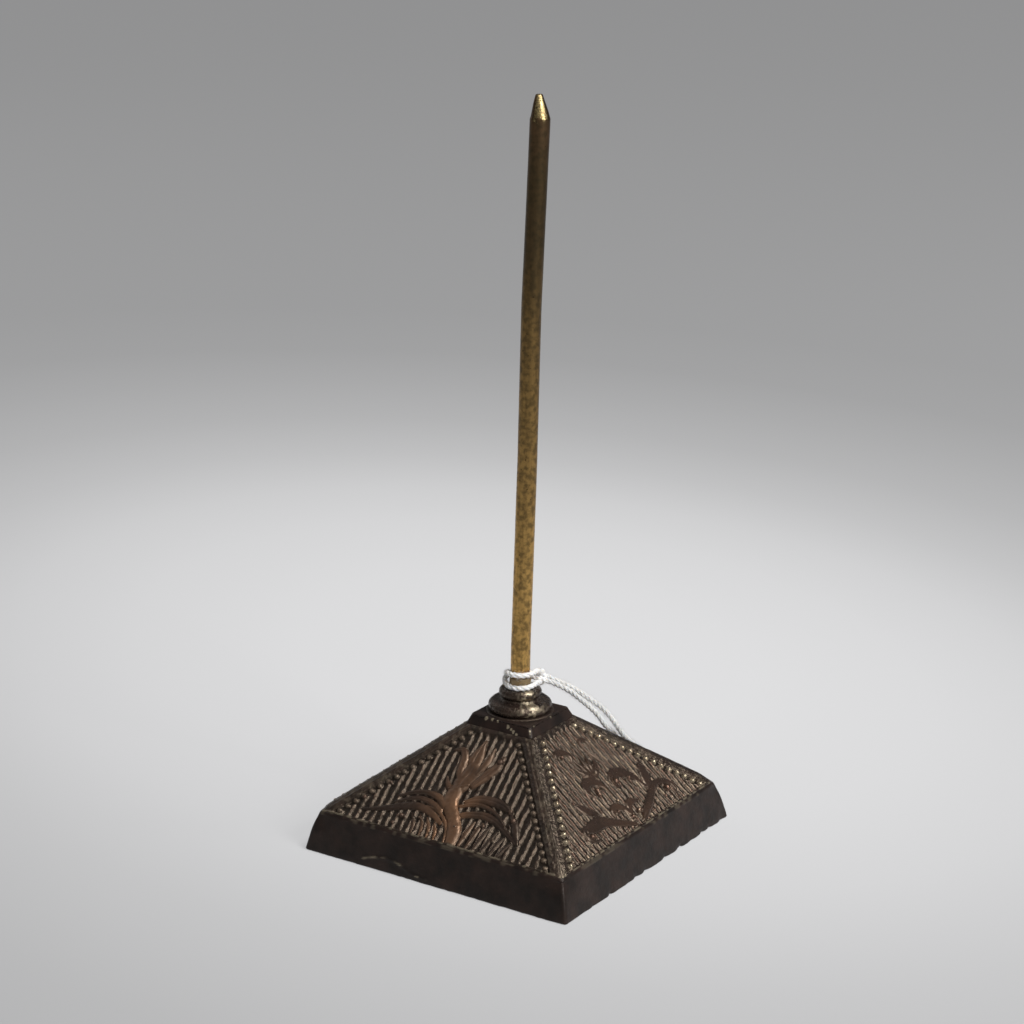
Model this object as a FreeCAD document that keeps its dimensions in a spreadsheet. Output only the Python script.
import FreeCAD, Part
import Sketcher
import math
import os

from FreeCAD import Placement, Rotation, Vector

# Bill spike: a hollow cast iron base, a brass rod clamped through it by a washer and a square nut,
# and a cotton tag string hitched round the foot of the rod.
# Millimetres, +Z up. The origin is the centre of the base's rim, on the surface it stands on.

SIZES = {
    # base casting
    "base_width": 76.2,
    "skirt_top_width": 71.65,
    "skirt_height": 9.94,
    "slope_top_width": 19.57,
    "slope_rise": 20.3,
    "table_top_width": 17.25,
    "table_height": 2.4,
    "skirt_wall": 3.2,
    "roof_wall": 3.2,
    "crown_depth": 5.6,
    "lower_bead_radius": 7.8,
    "lower_bead_section": 1.5,
    "bead_waist": 0.65,
    "upper_bead_radius": 5.25,
    "upper_bead_section": 1.2,
    "neck_radius": 2.62,
    "neck_height": 2.65,
    # relief on the sloped faces
    "panel_depth": 0.5,
    "ridge_band": 3.2,
    "rim_band": 0.8,
    "head_band": 1.2,
    "pearl_radius": 0.6,
    "pearl_pitch": 2.25,
    "pearl_inset": 1.4,
    "leaf_height": 0.75,
    "leaf_step": 0.06,
    "leaf_root": 0.8,
    # spike
    "rod_radius": 2.38,
    "tenon_radius": 2.05,
    "tenon_clearance": 0.1,
    "thread_end": 1.5,
    "foot_length": 0.5,
    "bend_radius": 300.0,
    "lean_foot": 1.75,
    "foot_run": 43.0,
    "lean_middle": 1.15,
    "middle_run": 33.0,
    "lean_top": 2.3,
    "top_run": 46.4,
    "tip_length": 5.6,
    "tip_radius": 0.85,
    "lean_heading": 33.7,
    # fastening under the casting
    "washer_radius": 5.5,
    "washer_thickness": 1.0,
    "washer_clearance": 0.2,
    "nut_width": 7.9,
    "nut_height": 3.2,
    "nut_clearance": 0.05,
    "nut_crown": 0.3,
    # tag string
    "string_diameter": 1.15,
    "string_gap": 0.08,
    "turn_spacing": 3.3,
    "strand_spacing": 1.8,
    "strand_heading": 33.7,
    "knot_length": 3.6,
    "knot_radius": 1.75,
    "knot_end_radius": 1.55,
}

doc = FreeCAD.newDocument("bill_spike")
sheet = doc.addObject("Spreadsheet::Sheet", "sizes")
for row, (alias, value) in enumerate(SIZES.items(), start=1):
    sheet.set(f"A{row}", alias)
    sheet.set(f"B{row}", str(value))
    sheet.setAlias(f"B{row}", alias)
doc.recompute()


def size(alias):
    """The sheet's present value of one driving size."""
    return float(sheet.get(alias))


def cell(text):
    """An expression on the sheet, with each size written as {alias}."""
    return text.replace("{", "sizes.").replace("}", "")


def bind(item, **expressions):
    """Binds properties to expressions; a double underscore in a name stands for a dot."""
    for name, text in expressions.items():
        item.setExpression(name.replace("__", "."), cell(text))
    return item


# heights that several pieces share, as expressions on the sheet
SLOPE_TOP = "({skirt_height} + {slope_rise})"
TABLE_TOP = "({skirt_height} + {slope_rise} + {table_height})"
CEILING = "({skirt_height} + {slope_rise} + {table_height} - {crown_depth})"
LOWER_BEAD = f"({TABLE_TOP} + {{lower_bead_section}})"
UPPER_BEAD = f"({LOWER_BEAD} + {{lower_bead_section}} + {{bead_waist}} + {{upper_bead_section}})"
NECK_TOP = f"({UPPER_BEAD} + {{upper_bead_section}} + {{neck_height}})"
SLOPE_RUN = "(({skirt_top_width} - {slope_top_width}) / 2)"
SLANT = f"sqrt({SLOPE_RUN} ^ 2 + {{slope_rise}} ^ 2)"
ROOF_DROP = f"({{roof_wall}} * {SLANT} / {SLOPE_RUN})"
KNEE_HALF = "({skirt_top_width} / 2 - {skirt_wall})"
KNEE_HEIGHT = f"({{skirt_height}} - {ROOF_DROP} + {{skirt_wall}} * {{slope_rise}} / {SLOPE_RUN})"
CEILING_RISE = f"({CEILING} + {ROOF_DROP} - {{skirt_height}})"
CEILING_HALF = f"({{skirt_top_width}} / 2 - {CEILING_RISE} * {SLOPE_RUN} / {{slope_rise}})"


def frustum(name, low_half, top_half, low_height, top_height):
    """A square block that tapers from one half width to another between two heights."""
    wedge = doc.addObject("Part::Wedge", name)
    for side, sign in (("min", "-"), ("max", "")):
        wedge.setExpression(f"X{side}", cell(f"{sign}{low_half}"))
        wedge.setExpression(f"Z{side}", cell(f"{sign}{low_half}"))
        wedge.setExpression(f"X2{side}", cell(f"{sign}{top_half}"))
        wedge.setExpression(f"Z2{side}", cell(f"{sign}{top_half}"))
    bind(wedge, Ymin=low_height, Ymax=top_height)
    wedge.Placement = Placement(Vector(), Rotation(Vector(1, 0, 0), 90))
    return wedge


def cylinder(name, radius, low_height, height):
    """An upright cylinder on the Z axis."""
    item = doc.addObject("Part::Cylinder", name)
    return bind(item, Radius=radius, Height=height, Placement__Base__z=low_height)


def torus(name, outer_radius, section, centre_height):
    """A round moulding: a ring whose outside is outer_radius."""
    item = doc.addObject("Part::Torus", name)
    bind(item, Radius1=f"{outer_radius} - {section}", Radius2=section)
    return bind(item, Placement__Base__z=centre_height)


def fuse(name, items):
    joined = doc.addObject("Part::MultiFuse", name)
    joined.Shapes = items
    return joined


def cut(name, base, tool):
    result = doc.addObject("Part::Cut", name)
    result.Base = base
    result.Tool = tool
    return result


def casting_outside():
    """Skirt, sloped faces, table, two round mouldings and the neck that the rod stands on."""
    blocks = [
        frustum("skirt", "{base_width} / 2", "{skirt_top_width} / 2", "0", "{skirt_height}"),
        frustum("slopes", "{skirt_top_width} / 2", "{slope_top_width} / 2", "{skirt_height}", SLOPE_TOP),
        frustum("table", "{slope_top_width} / 2", "{table_top_width} / 2", SLOPE_TOP, TABLE_TOP),
    ]
    lower_core = "({lower_bead_radius} - {lower_bead_section})"
    upper_core = "({upper_bead_radius} - {upper_bead_section})"
    lower_height = f"{LOWER_BEAD} + {{lower_bead_section}} - {SLOPE_TOP}"
    upper_height = f"{UPPER_BEAD} + {{upper_bead_section}} - {LOWER_BEAD}"
    blocks += [
        cylinder("lower_core", lower_core, SLOPE_TOP, lower_height),
        torus("lower_bead", "{lower_bead_radius}", "{lower_bead_section}", LOWER_BEAD),
        cylinder("upper_core", upper_core, LOWER_BEAD, upper_height),
        torus("upper_bead", "{upper_bead_radius}", "{upper_bead_section}", UPPER_BEAD),
        cylinder("neck", "{neck_radius}", UPPER_BEAD, f"{NECK_TOP} - {UPPER_BEAD}"),
    ]
    return fuse("casting_outside", blocks)


def casting_hollow():
    """The hollow under the casting, its wall even under the slopes, and the bore for the tenon."""
    return fuse("casting_hollow", [
        frustum("skirt_hollow", KNEE_HALF, KNEE_HALF, "0", KNEE_HEIGHT),
        frustum("roof_hollow", KNEE_HALF, CEILING_HALF, KNEE_HEIGHT, CEILING),
        cylinder("tenon_bore", "({tenon_radius} + {tenon_clearance})", KNEE_HEIGHT, f"{NECK_TOP}"),
    ])


def face_placement(quarter):
    """Face coordinates: x across the face, y up the slope from the skirt's top edge, z outwards."""
    run = (size("skirt_top_width") - size("slope_top_width")) / 2
    tilt = math.degrees(math.atan2(size("slope_rise"), run))
    foot = Vector(0, -size("skirt_top_width") / 2, size("skirt_height"))
    stand = Placement(foot, Rotation(Vector(1, 0, 0), tilt))
    return Placement(Vector(), Rotation(Vector(0, 0, 1), 90 * quarter)).multiply(stand)


def panel_recess(quarter):
    """The sunk field of one sloped face, inside its ridge bands, rim and head band."""
    wedge = doc.addObject("Part::Wedge", f"panel_{quarter}")
    taper = f"({SLOPE_RUN} / {SLANT})"
    low = f"({{skirt_top_width}} / 2 - {{ridge_band}} - {{rim_band}} * {taper})"
    high = f"({{slope_top_width}} / 2 - {{ridge_band}} + {{head_band}} * {taper})"
    for side, sign in (("min", "-"), ("max", "")):
        wedge.setExpression(f"X{side}", cell(f"{sign}{low}"))
        wedge.setExpression(f"X2{side}", cell(f"{sign}{high}"))
        far = "-{panel_depth}" if side == "min" else "{panel_depth}"
        wedge.setExpression(f"Z{side}", cell(far))
        wedge.setExpression(f"Z2{side}", cell(far))
    bind(wedge, Ymin="{rim_band}", Ymax=f"{SLANT} - {{head_band}}")
    wedge.Placement = face_placement(quarter)
    return wedge


# Relief leaves, each a blade between two arcs that share their ends.
# Start and end are (across, up) on the face. The two bulges are how far each arc's middle stands to
# the left of the line from start to end.
SPRAY_LEAVES = [
    ((3.4, 1.6), (-3.4, 14.8), 0.6, -2.6),
    ((0.5, 4.5), (-16.5, 8.0), -4.6, -2.4),
    ((-4.0, 10.0), (-17.0, 10.0), -3.2, -1.2),
    ((-2.0, 2.5), (-24.0, 4.0), -3.4, -1.2),
    ((1.5, 11.5), (15.0, 9.0), 2.6, 1.4),
    ((3.0, 8.3), (20.3, 5.3), 3.4, 1.2),
    ((3.0, 13.0), (15.0, 12.5), 2.8, 0.3),
    ((13.5, 12.0), (20.6, 5.4), 1.2, -0.8),
    ((5.2, 7.6), (6.6, 1.7), 0.7, -0.7),
    ((8.2, 7.2), (9.4, 1.7), 0.7, -0.7),
    ((11.2, 6.8), (12.6, 1.8), 0.7, -0.7),
    ((14.2, 6.0), (15.6, 2.0), 0.7, -0.7),
    ((-3.2, 6.2), (-2.2, 1.7), 0.7, -0.7),
    ((-6.0, 7.2), (-5.0, 1.8), 0.7, -0.7),
    ((-9.0, 7.2), (-8.4, 2.0), 0.7, -0.7),
    ((-12.0, 6.8), (-12.0, 2.2), 0.7, -0.7),
    ((-1.4, 16.6), (-1.4, 29.2), 2.3, -1.9),
    ((1.4, 20.5), (1.6, 28.0), 0.8, -0.8),
    ((-3.2, 18.0), (-5.8, 26.4), 2.6, 1.2),
    ((0.2, 15.2), (0.8, 22.4), 3.2, -3.0),
    ((2.9, 17.5), (5.0, 26.2), 0.6, -0.8),
]
SPRAY_KNOBS = [
    ((14.2, 13.0), 0.8), ((16.3, 11.0), 0.8), ((5.0, 25.0), 0.9), ((-12.8, 5.0), 0.7), ((9.4, 7.7), 0.6),
]
SCROLL_LEAVES = [
    ((3.0, 2.0), (13.2, 7.2), 1.0, -1.3),
    ((12.3, 6.2), (20.4, 3.5), 3.3, 1.4),
    ((12.2, 7.6), (17.4, 15.5), 2.2, -1.7),
    ((2.2, 15.0), (10.5, 12.6), 2.8, -0.4),
    ((-2.6, 2.4), (-9.5, 5.4), 0.9, -1.1),
    ((-7.5, 5.0), (-17.9, 6.4), -2.7, 0.7),
    ((-9.2, 8.0), (-14.5, 14.5), 1.6, -1.4),
    ((-0.4, 14.6), (-7.3, 14.5), -3.0, -0.4),
    ((0.2, 5.2), (6.4, 6.7), 2.5, 0.4),
    ((-0.2, 5.2), (-5.0, 6.4), -2.4, -0.4),
    ((-0.8, 3.2), (-5.6, 3.7), -1.2, 0.8),
    ((-1.0, 16.8), (-4.7, 21.4), 0.8, -0.8),
    ((-1.0, 17.0), (-2.7, 22.8), 0.8, -0.8),
    ((-0.8, 17.0), (-0.6, 23.3), 0.8, -0.8),
    ((-0.6, 17.0), (1.4, 22.7), 0.8, -0.8),
    ((-0.4, 16.8), (3.4, 21.0), 0.8, -0.8),
    ((-2.3, 24.0), (-7.6, 25.6), -2.2, -1.1),
    ((1.8, 25.0), (6.4, 24.0), 2.5, 1.3),
    ((5.8, 18.8), (3.3, 25.2), 0.5, -0.5),
]
SCROLL_KNOBS = [
    ((4.2, 13.4), 0.9), ((-3.7, 13.2), 0.9), ((18.0, 5.2), 0.9), ((-16.9, 4.6), 0.8), ((3.4, 4.3), 0.8),
    ((-3.1, 6.2), 0.7), ((0.35, 3.6), 0.6), ((-5.2, 24.6), 0.7), ((3.7, 25.1), 0.6),
]


def leaf(start, end, first_bulge, second_bulge, height):
    """One blade standing on the sunk field."""
    base = -size("panel_depth") - size("leaf_root")
    first = Vector(start[0], start[1], base)
    last = Vector(end[0], end[1], base)
    along = (last - first).normalize()
    left = Vector(-along.y, along.x, 0)
    middle = (first + last) * 0.5
    one = Part.Arc(first, middle + left * first_bulge, last).toShape()
    other = Part.Arc(last, middle + left * second_bulge, first).toShape()
    return Part.Face(Part.Wire([one, other])).extrude(Vector(0, 0, height - size("panel_depth") - base))


def pearl_rows():
    """A row of half sunk pearls beside each ridge band."""
    run = (size("skirt_top_width") - size("slope_top_width")) / 2
    slant = math.hypot(run, size("slope_rise"))
    first = size("rim_band") + size("pearl_pitch") / 2
    length = math.hypot(run, slant)
    count = int((slant - size("head_band") - first) * length / slant / size("pearl_pitch"))
    pearls = []
    for index in range(count):
        up = first + index * size("pearl_pitch") * slant / length
        across = size("skirt_top_width") / 2 - up * run / slant - size("ridge_band") - size("pearl_inset")
        for side in (-1, 1):
            centre = Vector(side * across, up, -size("panel_depth"))
            pearls.append(Part.makeSphere(size("pearl_radius"), centre))
    return pearls


def face_relief(name, quarter, leaves, knobs):
    """The raised ornament of one sloped face: leaves in steps of height, knobs and pearls."""
    solids = pearl_rows()
    for index, (start, end, first_bulge, second_bulge) in enumerate(leaves):
        height = size("leaf_height") - size("leaf_step") * (index % 4)
        solids.append(leaf(start, end, first_bulge, second_bulge, height))
    for (across, up), radius in knobs:
        solids.append(Part.makeSphere(radius, Vector(across, up, -size("panel_depth"))))
    relief = doc.addObject("Part::Feature", name)
    relief.Shape = solids[0].multiFuse(solids[1:])
    relief.Placement = face_placement(quarter)
    return relief


def base_casting():
    """The one-piece casting. Opposite faces carry the same ornament."""
    hollow = casting_hollow()
    sunk = fuse("panels", [panel_recess(quarter) for quarter in range(4)])
    plain = cut("casting_plain", casting_outside(), sunk)
    reliefs = [
        face_relief("relief_front", 0, SPRAY_LEAVES, SPRAY_KNOBS),
        face_relief("relief_right", 1, SCROLL_LEAVES, SCROLL_KNOBS),
        face_relief("relief_back", 2, SPRAY_LEAVES, SPRAY_KNOBS),
        face_relief("relief_left", 3, SCROLL_LEAVES, SCROLL_KNOBS),
    ]
    return cut("base_casting", fuse("casting_full", [plain] + reliefs), hollow)


def new_body(name):
    return doc.addObject("PartDesign::Body", name)


def new_sketch(body, name, role, height=None):
    """A sketch on one of the body's own origin planes, raised to a height."""
    sketch = body.newObject("Sketcher::SketchObject", name)
    plane = [item for item in body.Origin.OriginFeatures if item.Role == role][0]
    sketch.AttachmentSupport = (plane, [""])
    sketch.MapMode = "FlatFace"
    if height:
        sketch.setExpression("AttachmentOffset.Base.z", cell(height))
    return sketch


def add_circle(sketch, radius):
    """A circle centred on the sketch's origin."""
    index = sketch.addGeometry(Part.Circle(Vector(), Vector(0, 0, 1), 1.0), False)
    sketch.addConstraint(Sketcher.Constraint("Coincident", index, 3, -1, 1))
    named = sketch.addConstraint(Sketcher.Constraint("Radius", index, 1.0))
    sketch.setExpression(f"Constraints[{named}]", cell(radius))


def heading_vector(degrees, length=1.0):
    """A line direction in the rod's upright plane, measured from the vertical."""
    return Vector(math.sin(math.radians(degrees)), math.cos(math.radians(degrees)), 0) * length


def lean_path(sketch, start_height):
    """The rod's centreline: four straight runs joined by gentle tangent bends."""
    runs = [
        (0.0, "{foot_length}", size("foot_length")),
        (size("lean_foot"), "{foot_run}", size("foot_run")),
        (size("lean_middle"), "{middle_run}", size("middle_run")),
        (size("lean_top"), "{top_run}", size("top_run")),
    ]
    leans = [None, "{lean_foot}", "{lean_middle}", "{lean_top}"]
    point = Vector(0, start_height, 0)
    previous = None
    for (lean, length_text, length), lean_text in zip(runs, leans):
        if previous is not None:
            old_lean, old_line = previous
            turn = math.radians(lean - old_lean)
            side = 1 if turn > 0 else -1
            to_centre = Vector(heading_vector(old_lean).y, -heading_vector(old_lean).x, 0) * side
            centre = point + to_centre * size("bend_radius")
            out = Vector(heading_vector(lean).y, -heading_vector(lean).x, 0) * side
            bend_end = centre - out * size("bend_radius")
            middle_out = (to_centre + out).normalize()
            bend_middle = centre - middle_out * size("bend_radius")
            bend = sketch.addGeometry(Part.Arc(point, bend_middle, bend_end), False)
            start_vertex, end_vertex = (2, 1) if side > 0 else (1, 2)
            sketch.addConstraint(Sketcher.Constraint("Tangent", old_line, 2, bend, start_vertex))
            named = sketch.addConstraint(Sketcher.Constraint("Radius", bend, size("bend_radius")))
            sketch.setExpression(f"Constraints[{named}]", cell("{bend_radius}"))
            point = bend_end
        end = point + heading_vector(lean, length)
        line = sketch.addGeometry(Part.LineSegment(point, end), False)
        if previous is None:
            sketch.addConstraint(Sketcher.Constraint("PointOnObject", line, 1, -2))
            sketch.addConstraint(Sketcher.Constraint("Vertical", line))
            named = sketch.addConstraint(Sketcher.Constraint("DistanceY", -1, 1, line, 1, start_height))
            sketch.setExpression(f"Constraints[{named}]", cell(NECK_TOP))
        else:
            sketch.addConstraint(Sketcher.Constraint("Tangent", bend, end_vertex, line, 1))
            named = sketch.addConstraint(Sketcher.Constraint("Angle", line, math.radians(90 - lean)))
            sketch.setExpression(f"Constraints[{named}]", cell(f"(90 - {lean_text}) * 1 deg"))
        named = sketch.addConstraint(Sketcher.Constraint("Distance", line, length))
        sketch.setExpression(f"Constraints[{named}]", cell(length_text))
        previous = (lean, line)
        point = end


def neck_top():
    """The height of the neck's top face, from the sheet."""
    table_top = size("skirt_height") + size("slope_rise") + size("table_height")
    beads = 2 * size("lower_bead_section") + size("bead_waist") + 2 * size("upper_bead_section")
    return table_top + beads + size("neck_height")


def fastening_heights():
    """Expressions for the washer's and the nut's undersides, stacked under the ceiling."""
    washer_low = f"({CEILING} - {{washer_thickness}})"
    nut_low = f"({CEILING} - {{washer_thickness}} - {{nut_height}})"
    return washer_low, nut_low


def spike_rod():
    """The brass rod: a tenon through the casting, a shoulder on the neck, slight bends, a blunt point."""
    body = new_body("spike_rod")
    nut_low = fastening_heights()[1]
    tenon_low = f"({nut_low} - {{thread_end}})"
    tenon_sketch = new_sketch(body, "tenon_circle", "XY_Plane", tenon_low)
    add_circle(tenon_sketch, "{tenon_radius}")
    tenon = body.newObject("PartDesign::Pad", "tenon")
    tenon.Profile = tenon_sketch
    bind(tenon, Length=f"{NECK_TOP} - {tenon_low}")
    rod_sketch = new_sketch(body, "rod_circle", "XY_Plane", NECK_TOP)
    add_circle(rod_sketch, "{rod_radius}")
    path = new_sketch(body, "rod_path", "XZ_Plane")
    lean_path(path, neck_top())
    doc.recompute()
    pipe = body.newObject("PartDesign::AdditivePipe", "rod_pipe")
    pipe.Profile = rod_sketch
    pipe.Spine = path
    doc.recompute()
    point = body.newObject("PartDesign::Chamfer", "blunt_point")
    point.Base = (pipe, [top_rim(pipe.Shape)])
    point.ChamferType = 1
    bind(point, Size="{tip_length}", Size2="{rod_radius} - {tip_radius}")
    doc.recompute()
    if tip_is_sideways(point.Shape):
        point.FlipDirection = True
    body.setExpression("Placement.Rotation.Angle", cell("{lean_heading} * 1 deg"))
    return body


def top_rim(shape):
    """The name of the highest round edge."""
    heights = {
        f"Edge{number}": edge.CenterOfMass.z
        for number, edge in enumerate(shape.Edges, start=1)
        if edge.Curve.TypeId == "Part::GeomCircle"
    }
    return max(heights, key=heights.get)


def tip_is_sideways(shape):
    """True where the chamfer took its long side across the rod and not along it."""
    top_face = max(shape.Faces, key=lambda face: face.CenterOfMass.z)
    return abs(math.sqrt(top_face.Area / math.pi) - size("tip_radius")) > size("tip_radius") / 2


def rod_washer():
    """A plain washer that spreads the nut's pull over the ceiling of the hollow."""
    low = fastening_heights()[0]
    disc = cylinder("washer_disc", "{washer_radius}", low, "{washer_thickness}")
    hole = cylinder("washer_hole", "({tenon_radius} + {washer_clearance})", low, "{washer_thickness}")
    return cut("rod_washer", disc, hole)


def rod_nut():
    """A square nut, its lower corners turned off by a cone."""
    low = fastening_heights()[1]
    block = doc.addObject("Part::Box", "nut_block")
    bind(block, Length="{nut_width}", Width="{nut_width}", Height="{nut_height}")
    bind(block, Placement__Base__x="-{nut_width} / 2", Placement__Base__y="-{nut_width} / 2")
    bind(block, Placement__Base__z=low)
    cone = doc.addObject("Part::Cone", "nut_cone")
    low_radius = "({nut_width} / 2 + {nut_crown})"
    bind(cone, Radius1=low_radius, Radius2=f"{low_radius} + 2 * {{nut_height}}", Height="{nut_height}")
    bind(cone, Placement__Base__z=low)
    crowned = doc.addObject("Part::MultiCommon", "nut_crowned")
    crowned.Shapes = [block, cone]
    hole = cylinder("nut_hole", "({tenon_radius} + {nut_clearance})", low, "{nut_height}")
    return cut("rod_nut", crowned, hole)


def tangent_arc(start, start_tangent, end):
    """The circular arc that leaves start along its tangent and reaches end, or a straight edge."""
    chord = end - start
    across = start_tangent - chord * (start_tangent.dot(chord) / chord.dot(chord))
    if across.Length < 1e-4:
        return Part.LineSegment(start, end).toShape()
    rise = chord.Length / 2 * math.tan(start_tangent.getAngle(chord) / 2)
    return Part.Arc(start, (start + end) * 0.5 + across.normalize() * rise, end).toShape()


def biarc(start, start_tangent, end, end_tangent):
    """Two tangent arcs that join two points with given directions."""
    span = end - start
    both = start_tangent + end_tangent
    fall = 2 * (1 - start_tangent.dot(end_tangent))
    if fall < 1e-6:
        reach = span.dot(span) / (4 * span.dot(end_tangent))
    else:
        reach = (math.sqrt(span.dot(both) ** 2 + fall * span.dot(span)) - span.dot(both)) / fall
    middle = (start + end + (start_tangent - end_tangent) * reach) * 0.5
    chord = middle - start
    middle_tangent = chord * (2 * start_tangent.dot(chord) / chord.dot(chord)) - start_tangent
    return [tangent_arc(start, start_tangent, middle), tangent_arc(middle, middle_tangent.normalize(), end)]


def tube(edges, start, tangent):
    """One unbroken round tube of the string's diameter along tangent edges."""
    circle = Part.Wire([Part.Circle(start, tangent, size("string_diameter") / 2).toShape()])
    return Part.Wire(edges).makePipeShell([circle], True, False)


def string_frame(right, back, height):
    """A point given to the right, to the back and up, turned to the heading of the strands."""
    turn = Rotation(Vector(0, 0, 1), size("strand_heading"))
    return turn.multVec(Vector(right, back, height))


def eased(fraction):
    """0 to 1 with level ends."""
    held = min(max(fraction, 0.0), 1.0)
    return held * held * (3 - 2 * held)


def wrap_station(degrees, top, wrap_radius, middle_height):
    """A point of one turn round the rod's foot. The turn starts behind the rod, between the two turns."""
    leave_back = -265.0
    level_at = -150.0
    settled = eased((degrees - leave_back) / (level_at - leave_back))
    sign = 1 if top else -1
    spread = 0 if top else size("strand_spacing")
    radius = wrap_radius + spread * (1 - settled)
    height = middle_height + sign * size("turn_spacing") / 2 * settled
    angle = math.radians(degrees)
    return string_frame(radius * math.cos(angle), radius * math.sin(angle), height)


# The hitch's places beside the rod, each as (right, back) or (right, back, above the middle of the turns)
FOLD_SLACK = 0.2
FOLD_DROP = 0.12
FOLD_HEADING = 78.0
FOLD_PLACE = (5.2, 5.6)
TOP_RUN = [(4.3, 2.2, 1.65), (4.85, 3.7, 1.65)]
LOW_RUN = [(4.3, 2.2, -1.7), (4.85, 3.7, -1.98)]
FIRST_EXIT = (6.5, 3.86, -1.0)
SECOND_EXIT = (6.5, 5.6, -0.55)

# The free strands' routes after their exits: over the table's edge, down behind the base, to the knot
FIRST_STRAND = [
    (6.2, 9.6, 37.2), (9.8, 13.4, 32.8), (12.5, 16.0, 29.0), (14.0, 17.6, 25.5), (14.0, 22.0, 21.9),
    (13.4, 27.0, 18.0), (12.4, 34.3, 12.4), (12.2, 37.9, 8.8), (12.4, 41.0, 4.2), (12.9, 44.2, 1.6),
    (14.15, 47.0, 1.4), (14.15, 50.0, 1.4),
]
SECOND_STRAND = [
    (5.9, 11.1, 37.4), (10.6, 15.3, 33.0), (14.1, 18.5, 28.9), (16.7, 21.1, 22.7), (17.0, 26.5, 18.5),
    (16.6, 34.4, 12.4), (16.4, 37.9, 8.8), (16.5, 41.0, 4.2), (16.3, 44.2, 1.6), (15.85, 47.0, 1.4),
    (15.85, 50.0, 1.4),
]
KNOT_PLACE = (15.0, 50.0)

# An arc of a free strand takes this share of the shorter run beside it
ARC_SHARE = 0.45


def hitch_stations():
    """The hitch's centreline as points with directions, from one strand's exit to the other's.

    The string comes from the right behind the rod, makes a turn round its front, folds over both
    strands at the right, and makes a second turn back the same way below the first.
    """
    wrap_radius = size("neck_radius") + size("string_gap") + size("string_diameter") / 2
    bead_top = neck_top() - size("neck_height")
    low = bead_top + size("string_gap") + size("string_diameter") / 2
    middle = low + size("turn_spacing") / 2
    fold_radius = size("turn_spacing") / 2 + FOLD_SLACK
    turn_degrees = range(-265, -19, 35)
    top_turn = [wrap_station(degrees, True, wrap_radius, middle) for degrees in turn_degrees]
    low_turn = [wrap_station(degrees, False, wrap_radius, middle) for degrees in turn_degrees]
    fold_centre = middle - FOLD_DROP
    outward = string_frame(math.cos(math.radians(FOLD_HEADING)), math.sin(math.radians(FOLD_HEADING)), 0)
    fold_foot = string_frame(FOLD_PLACE[0], FOLD_PLACE[1], fold_centre)
    up = Vector(0, 0, 1)
    fold = [
        (fold_foot + up * fold_radius, outward),
        (fold_foot + outward * fold_radius, -up),
        (fold_foot - up * fold_radius, -outward),
    ]
    top_run = [(string_frame(right, back, middle + rise), None) for right, back, rise in TOP_RUN]
    low_run = [(string_frame(right, back, middle + rise), None) for right, back, rise in LOW_RUN]
    stations = [(point, None) for point in top_turn] + top_run + fold
    stations += low_run[::-1] + [(point, None) for point in low_turn[::-1]]
    first_exit = string_frame(FIRST_EXIT[0], FIRST_EXIT[1], middle + FIRST_EXIT[2])
    second_exit = string_frame(SECOND_EXIT[0], SECOND_EXIT[1], middle + SECOND_EXIT[2])
    first_way = (Vector(*FIRST_STRAND[0]) - first_exit).normalize()
    second_way = (Vector(*SECOND_STRAND[0]) - second_exit).normalize()
    stations = [(first_exit, -first_way)] + stations + [(second_exit, second_way)]
    directed = []
    for index, (point, tangent) in enumerate(stations):
        if tangent is None:
            before = point - stations[index - 1][0]
            after = stations[index + 1][0] - point
            near_share = after.Length / before.Length
            tangent = (before * near_share + after * (1 / near_share)).normalize()
        directed.append((point, tangent))
    return directed


def string_hitch():
    """The turns round the rod as one unbroken tube of tangent arcs."""
    stations = hitch_stations()
    edges = []
    for (start, start_tangent), (end, end_tangent) in zip(stations, stations[1:]):
        edges += biarc(start, start_tangent, end, end_tangent)
    shape = tube(edges, stations[0][0], stations[0][1])
    report_gap("string_hitch", edges)
    hitch = doc.addObject("Part::Feature", "string_hitch")
    hitch.Shape = shape
    return hitch, stations[0][0], stations[-1][0]


def report_gap(name, edges):
    """Prints the least gap between stretches of a tube that aren't neighbours along it."""
    step = 0.12
    points = []
    for edge in Part.Wire(edges).OrderedEdges:
        points += edge.discretize(max(3, int(edge.Length / step)))[:-1]
    skip = int(size("string_diameter") * math.pi / step)
    least = min(
        (points[one] - points[other]).Length
        for one in range(0, len(points), 2)
        for other in range(one + skip, len(points), 2)
    )
    print(name, "least gap to itself", round(least - size("string_diameter"), 3))


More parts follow.
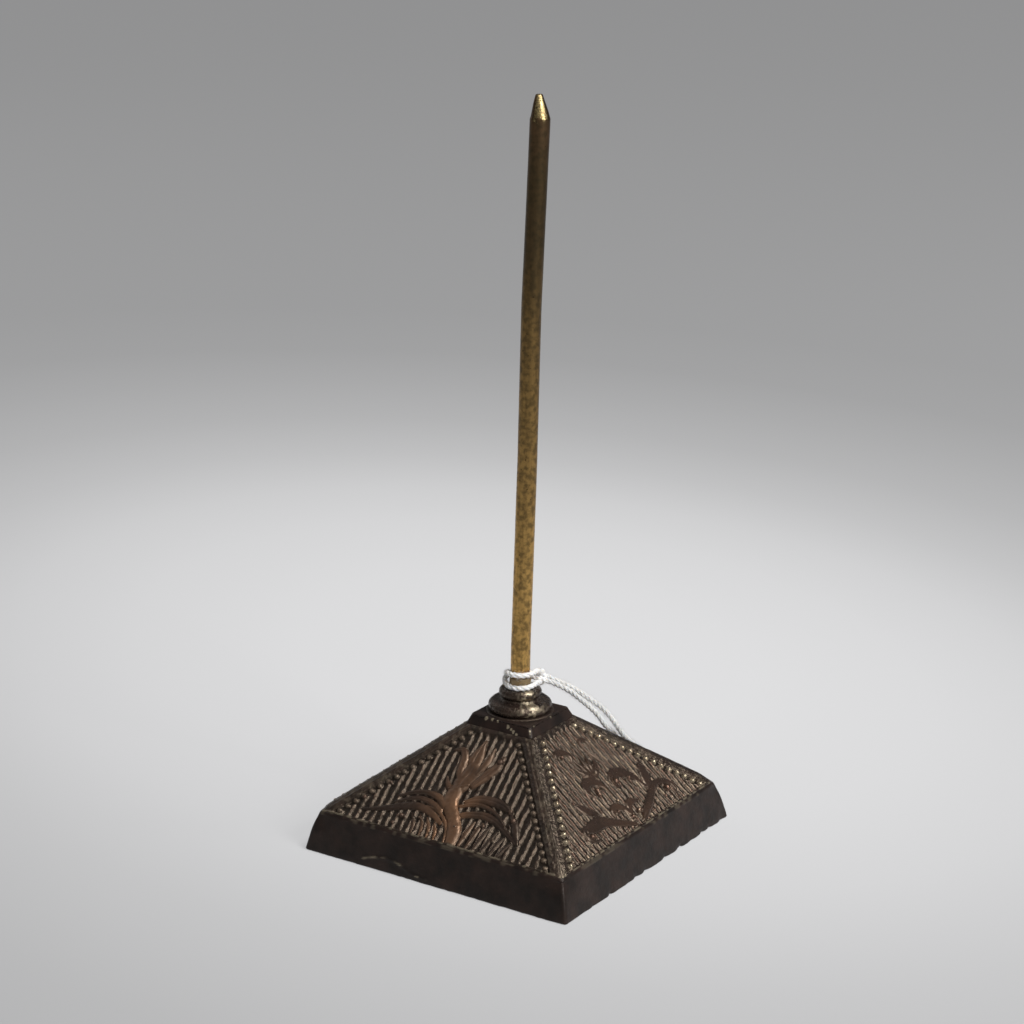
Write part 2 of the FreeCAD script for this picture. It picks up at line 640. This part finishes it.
def strand(name, leave, route):
    """A free stretch of the string: straight runs joined by tangent arcs as large as the runs allow."""
    points = [leave] + [Vector(*place) for place in route]
    edges = []
    radii = []
    position = points[0]
    for before, corner, after in zip(points, points[1:], points[2:]):
        inward = before - corner
        outward = after - corner
        half_turn = (math.pi - inward.getAngle(outward)) / 2
        reach = ARC_SHARE * min(inward.Length, outward.Length)
        radius = reach / math.tan(half_turn)
        radii.append(radius)
        inward.normalize()
        outward.normalize()
        arc_start = corner + inward * reach
        arc_end = corner + outward * reach
        bisector = (inward + outward).normalize()
        arc_middle = corner + bisector * (radius / math.cos(half_turn) - radius)
        edges.append(Part.LineSegment(position, arc_start).toShape())
        edges.append(Part.Arc(arc_start, arc_middle, arc_end).toShape())
        position = arc_end
    edges.append(Part.LineSegment(position, points[-1]).toShape())
    shape = tube(edges, points[0], points[1] - points[0])
    length = sum(edge.Length for edge in edges)
    section = math.pi * size("string_diameter") ** 2 / 4
    print(name, "length", round(length, 2), "least radius", round(min(radii), 2),
          "volume against section times length", round(shape.Volume / (section * length), 4))
    print(name, "radii", [round(radius, 1) for radius in radii])
    item = doc.addObject("Part::Feature", name)
    item.Shape = shape
    return item


def string_knot():
    """The knot that closes the string's loop, on the surface behind the base."""
    low_end = Vector(size("knot_end_radius"), 0, 0)
    high_end = Vector(size("knot_end_radius"), size("knot_length"), 0)
    waist = Vector(size("knot_radius"), size("knot_length") / 2, 0)
    outline = Part.Wire([
        Part.LineSegment(Vector(), low_end).toShape(),
        Part.Arc(low_end, waist, high_end).toShape(),
        Part.LineSegment(high_end, Vector(0, size("knot_length"), 0)).toShape(),
        Part.LineSegment(Vector(0, size("knot_length"), 0), Vector()).toShape(),
    ])
    knot = doc.addObject("Part::Feature", "string_knot")
    knot.Shape = Part.Face(outline).revolve(Vector(), Vector(0, 1, 0), 360)
    knot.Placement = Placement(Vector(KNOT_PLACE[0], KNOT_PLACE[1], size("knot_radius")), Rotation())
    return knot


def check(items):
    """Stops with a message if anything in the document failed or a sub-part isn't sound."""
    for item in doc.Objects:
        if "Invalid" in item.State or "Error" in item.State:
            raise RuntimeError(f"{item.Name} failed: {item.State}")
    for item in items:
        shape = item.Shape
        if shape.isNull() or not shape.isValid() or not shape.Solids:
            raise RuntimeError(f"{item.Label} has no sound shape")
        box = shape.BoundBox
        print(item.Label, "solids", len(shape.Solids), "volume", round(shape.Volume, 2), "box",
              [round(value, 2) for value in (box.XMin, box.YMin, box.ZMin, box.XMax, box.YMax, box.ZMax)])


def main():
    hitch, first_exit, second_exit = string_hitch()
    items = [
        base_casting(),
        spike_rod(),
        rod_washer(),
        rod_nut(),
        hitch,
        strand("string_strand_front", first_exit, FIRST_STRAND),
        strand("string_strand_back", second_exit, SECOND_STRAND),
        string_knot(),
    ]
    for item in items:
        item.Label = item.Name
    doc.recompute()
    check(items)
    os.makedirs("parts", exist_ok=True)
    for item in items:
        item.Shape.exportStep(f"parts/{item.Label}.step")


main()
